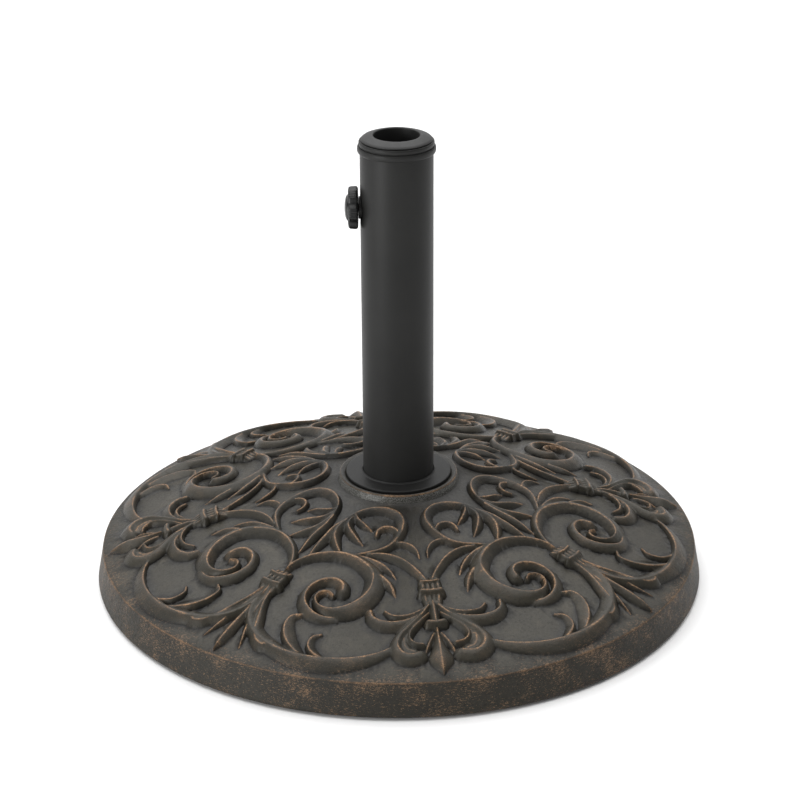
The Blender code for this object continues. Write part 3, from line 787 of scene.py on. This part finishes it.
# ---- stem ---------------------------------------------------------------------------------
def build_stem():
    inner = TUBE_R - TUBE_WALL
    tube = turned("tube", softened([
        (inner, TUBE_LOW.z), (TUBE_R, TUBE_LOW.z), (TUBE_R, TUBE_HIGH.z), (inner, TUBE_HIGH.z),
    ]), steps=128)
    # The clamp's boss sits in a hole through the tube's wall on the knob's side.
    hole_r = (BOSS_HIGH.z - BOSS_LOW.z) / 2 + GAP
    clear = 0.010
    hole = turned("hole", [
        (0, inner - clear), (hole_r, inner - clear), (hole_r, TUBE_R + clear), (0, TUBE_R + clear),
    ], AT_CLAMP)
    add_piece("stem", pierced(tube, hole), "base_and_stem", "charcoal_powder_coat", ["stem_tube"])

    top = FLANGE_HIGH.z
    plate = top - 0.0013
    neck = TUBE_R + 0.0012
    flange = turned("flange", softened([
        (TUBE_R + 0.0006, FLANGE_LOW.z), (FLANGE_HIGH.x, FLANGE_LOW.z),
        (FLANGE_HIGH.x, plate - 0.0009), (FLANGE_HIGH.x - 0.0006, plate - 0.0004),
        (neck + 0.0008, plate), (neck, plate + 0.0005), (neck - 0.0002, top - 0.0002),
        (TUBE_R + 0.0006, top),
    ], 0.0004), steps=128)
    add_piece("cover_flange", flange, "base_and_stem", "charcoal_powder_coat", ["flange_plate"])


def bead(radius, low, high, depth):
    """Outline of a rounded bead from its lower to its upper groove."""
    steps = 10
    points = []
    for i in range(steps + 1):
        angle = math.pi * i / steps
        height = (low + high) / 2 - (high - low) / 2 * math.cos(angle)
        points.append((radius - depth + depth * math.sin(angle) ** 0.55, height))
    return points


def build_top():
    low, high = COLLAR_LOW.z, COLLAR_HIGH.z
    middle = low + (high - low) * 0.57
    side = TUBE_R + GAP
    lip = 0.0285
    collar = turned("collar", [
        (side, low), *bead(COLLAR_HIGH.x, low, middle - 0.0001, 0.0015),
        *bead(COLLAR_HIGH.x - 0.0013, middle + 0.0001, high, 0.0013),
        (lip, high), (lip, TUBE_HIGH.z + GAP), (side, TUBE_HIGH.z + GAP),
    ], steps=128)
    add_piece("beaded_collar", collar, "base_and_stem", "charcoal_powder_coat", ["top_collar"])

    top, bottom = REDUCER_HIGH.z, REDUCER_LOW.z
    shoulder = high + GAP
    sleeve = lip - 0.0004
    cap = REDUCER_HIGH.x
    reducer = turned("reducer", softened([
        (POLE_HOLE_R, bottom), (sleeve - 0.0058, bottom), (sleeve - 0.0058, top - 0.010),
        (sleeve - 0.0022, top - 0.010), (sleeve - 0.0022, bottom), (sleeve, bottom),
        (sleeve, shoulder), (cap - 0.0005, shoulder), (cap, shoulder + 0.0006),
        (cap - 0.0002, top - 0.0034), (cap - 0.0016, top - 0.0023), (0.0224, top),
        (POLE_HOLE_R + 0.0006, top), (POLE_HOLE_R, top - 0.0006),
    ], 0.0006), steps=128)
    add_piece("reducer_ring", reducer, "reducer", "black_plastic", ["reducer_insert"])


# ---- clamp --------------------------------------------------------------------------------
AT_CLAMP = Matrix.Translation((0, 0, CLAMP_Z)) @ Matrix.Rotation(-math.pi / 2, 4, "Y")
LOBES = 6


def build_knob():
    """The fluted knob, built along the clamp's axis; heights are distances from the stem's axis."""
    steps = 280
    inside, outside = -KNOB_HIGH.x, -KNOB_LOW.x
    radius = (KNOB_HIGH.z - KNOB_LOW.z) / 2

    def grip(inset):
        def reach(angle):
            wave = math.cos(LOBES * angle)
            flute = 0.0022 * max(0.0, (wave + 0.25) / 1.25) ** 1.3
            ridges = 0.00045 * (0.5 - 0.5 * math.cos(LOBES * 8 * angle)) * min(1.0, max(0.0, 0.4 - wave))
            return radius - inset - flute - ridges
        return reach

    hole = -SCREW_LOW.x
    recess = (KNOB_CAP_HIGH.z - KNOB_CAP_LOW.z) / 2 + GAP
    floor = outside - 0.0008
    loops = [
        ring_loop(SCREW_BORE_R, hole + GAP, steps), ring_loop(SCREW_BORE_R, inside, steps),
        ring_loop(radius - 0.0030, inside, steps), ring_loop(grip(0.0012), inside + 0.0003, steps),
        ring_loop(grip(0.0004), inside + 0.0009, steps), ring_loop(grip(0.0), inside + 0.0020, steps),
        ring_loop(grip(0.0003), outside - 0.0022, steps),
        ring_loop(grip(0.0007), outside - 0.0012, steps),
        ring_loop(grip(0.0015), outside - 0.0004, steps), ring_loop(radius - 0.0036, outside, steps),
        ring_loop(recess + 0.0003, outside, steps), ring_loop(recess, outside - 0.0003, steps),
        ring_loop(recess, floor, steps),
    ]
    knob = lofted("knob", loops, AT_CLAMP)
    add_piece("fluted_knob", knob, "clamp_handle", "knob_plastic", ["clamp_knob"])

    rise = -KNOB_CAP_LOW.x - outside
    cap_r = recess - GAP
    dome = []
    arcs = 14
    for i in range(arcs + 1):
        angle = math.pi / 2 * i / arcs
        reach = cap_r * math.cos(angle) if i < arcs else 0
        dome.append((reach, outside + rise * math.sin(angle) ** 0.9))
    cap = turned("cap", [(0, floor + GAP), (cap_r, floor + GAP), *dome], AT_CLAMP)
    add_piece("domed_cap", cap, "clamp_handle", "knob_plastic", ["knob_cap"])


def build_screw():
    """The clamp screw with its real thread, the boss it runs in and the pad on its tip."""
    pitch = 0.00125
    crest, depth = 0.0040, 0.00068
    pin = 0.0022
    start, end = -SCREW_HIGH.x, -SCREW_LOW.x
    shoulder = -PAD_LOW.x + GAP
    steps, per_turn = 32, 8
    rows = int((end - shoulder) / pitch * per_turn)
    loops = [ring_loop(pin, start, steps), ring_loop(pin, shoulder, steps)]
    for row in range(rows + 1):
        height = shoulder + (end - shoulder) * row / rows
        ramp = min(1.0, row / per_turn)

        def reach(angle, height=height, ramp=ramp):
            phase = (height / pitch - angle / TURN) % 1.0
            groove = abs(2 * phase - 1)
            return crest - depth * (1 - ramp * (1 - groove))

        loops.append(ring_loop(reach, height, steps))
    screw = lofted("screw", loops, AT_CLAMP)
    add_piece("threaded_screw", screw, "clamp_handle", "zinc_plated_steel", ["clamp_screw"], 60)

    near, far = -BOSS_HIGH.x, -BOSS_LOW.x
    boss_r = (BOSS_HIGH.z - BOSS_LOW.z) / 2
    boss = turned("boss", softened([
        (SCREW_BORE_R, near), (boss_r, near), (boss_r, far), (SCREW_BORE_R, far),
    ], 0.0007), AT_CLAMP)
    add_piece("threaded_boss", boss, "base_and_stem", "charcoal_powder_coat", ["clamp_boss"])

    front, back = -PAD_HIGH.x, -PAD_LOW.x
    pad_r = (PAD_HIGH.z - PAD_LOW.z) / 2
    pad = turned("pad", softened([
        (0, front), (pad_r, front + 0.0004), (pad_r, back), (pin + GAP, back),
        (pin + GAP, start - GAP), (0, start - GAP),
    ], 0.0006), AT_CLAMP, steps=64)
    add_piece("tip_pad", pad, "clamp_tip", "black_plastic", ["clamp_pad"])


# ---- feet and carried-over pieces ---------------------------------------------------------
def build_feet():
    for name in FEET:
        low, high = low_high(name)
        middle = (low + high) / 2
        radius = (high.x - low.x) / 2
        seat = GROUND + FOOT_SEAT
        foot = turned(name, softened([
            (0, 0.0006), (radius * 0.30, 0.0006), (radius * 0.34, 0.0), (radius * 0.56, 0.0),
            (radius * 0.60, 0.0006), (radius * 0.70, 0.0006), (radius * 0.74, 0.0),
            (radius - 0.0010, 0.0), (radius, 0.0012), (radius, seat), (FOOT_PLUG_R, seat),
            (FOOT_PLUG_R, high.z - 0.001), (FOOT_PLUG_R - 0.001, high.z), (0, high.z),
        ], 0.0003), Matrix.Translation((middle.x, middle.y, 0)), steps=48)
        add_piece(f"rubber_{name}", foot, "base_and_stem", "black_rubber", [name])


def finish_carried_nodes():
    """Gives the CAD nodes that stay in view their finish."""
    finishes = {
        "pole_seat": "black_plastic",
        "stem_foot_plate": "zinc_plated_steel",
        "anchor_nut": "zinc_plated_steel",
        "anchor_bolt": "zinc_plated_steel",
        "anchor_washer": "zinc_plated_steel",
        "spring_washer": "zinc_plated_steel",
    }
    for node, slot in finishes.items():
        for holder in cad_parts[node].material_slots:
            holder.material = MATERIALS[slot]


# ---- stage --------------------------------------------------------------------------------
def build_floor():
    bm = bmesh.new()
    bmesh.ops.create_grid(bm, x_segments=2, y_segments=2, size=12)
    floor = bpy.data.objects.new("floor", mesh_of("floor", bm, Matrix.Translation((0, 0, -0.0002))))
    bpy.context.scene.collection.objects.link(floor)
    pale = bpy.data.materials.new("floor")
    pale.use_nodes = True
    shader = pale.node_tree.nodes["Principled BSDF"]
    shader.inputs["Base Color"].default_value = (0.94, 0.94, 0.94, 1)
    shader.inputs["Roughness"].default_value = 0.9
    shader.inputs["Specular IOR Level"].default_value = 0.1
    floor.data.materials.append(pale)


def softbox(name, place, target, size, power):
    light = bpy.data.lights.new(name, "AREA")
    light.shape = "RECTANGLE"
    light.size, light.size_y = size
    light.energy = power
    holder = bpy.data.objects.new(name, light)
    holder.location = place
    holder.rotation_euler = (Vector(target) - Vector(place)).to_track_quat("-Z", "Y").to_euler()
    bpy.context.scene.collection.objects.link(holder)


def light_stage():
    """A wide overhead light, a softbox in front to the left, and a room that is brighter at the back."""
    world = bpy.data.worlds.new("studio")
    bpy.context.scene.world = world
    world.use_nodes = True
    room = world.node_tree.nodes["Background"]
    room.inputs["Color"].default_value = (1, 1, 1, 1)
    nodes, links = world.node_tree.nodes, world.node_tree.links
    towards = nodes.new("ShaderNodeVectorMath")
    towards.operation = "DOT_PRODUCT"
    towards.inputs[1].default_value = (-0.45, 0.85, 0)
    links.new(nodes.new("ShaderNodeTexCoord").outputs["Generated"], towards.inputs[0])
    glow = nodes.new("ShaderNodeMapRange")
    glow.interpolation_type = "SMOOTHSTEP"
    links.new(towards.outputs["Value"], glow.inputs["Value"])
    glow.inputs["From Min"].default_value = -0.9
    glow.inputs["From Max"].default_value = 0.9
    glow.inputs["To Min"].default_value = 0.30
    glow.inputs["To Max"].default_value = 0.80
    links.new(glow.outputs["Result"], room.inputs["Strength"])
    overhead = bpy.data.lights.new("overhead", "SUN")
    overhead.energy = 2.75
    overhead.angle = math.radians(80)
    holder = bpy.data.objects.new("overhead", overhead)
    holder.rotation_euler = Vector((-0.06, 0.30, 1)).to_track_quat("Z", "Y").to_euler()
    bpy.context.scene.collection.objects.link(holder)
    softbox("side", (-1.9, -1.6, 0.55), (0, 0, 0.2), (1.0, 0.9), 26)
    bpy.context.scene.view_settings.view_transform = "Standard"


def place_camera():
    """The photograph's viewpoint: a long lens, a little under two metres away, looking down."""
    camera = bpy.data.cameras.new("camera")
    camera.sensor_width = 36
    camera.lens = 104.36
    camera.shift_x = 0.0033
    camera.shift_y = 0.0006
    holder = bpy.data.objects.new("camera", camera)
    bpy.context.scene.collection.objects.link(holder)
    down = math.radians(23.671)
    roll = -0.0059
    holder.matrix_world = (
        Matrix.Translation((-0.0006, -1.900, 0.9975))
        @ Matrix.Rotation(math.pi / 2 - down, 4, "X") @ Matrix.Rotation(roll, 4, "Z")
    )
    camera.clip_start, camera.clip_end = 0.05, 50
    bpy.context.scene.camera = holder


def main():
    place_camera()
    build_floor()
    light_stage()
    draw_scrolls()
    draw_collars()
    draw_arms()
    draw_inner_spray()
    draw_fleur()
    draw_outer_spray()
    build_casting()
    build_stem()
    build_top()
    build_knob()
    build_screw()
    build_feet()
    finish_carried_nodes()


main()
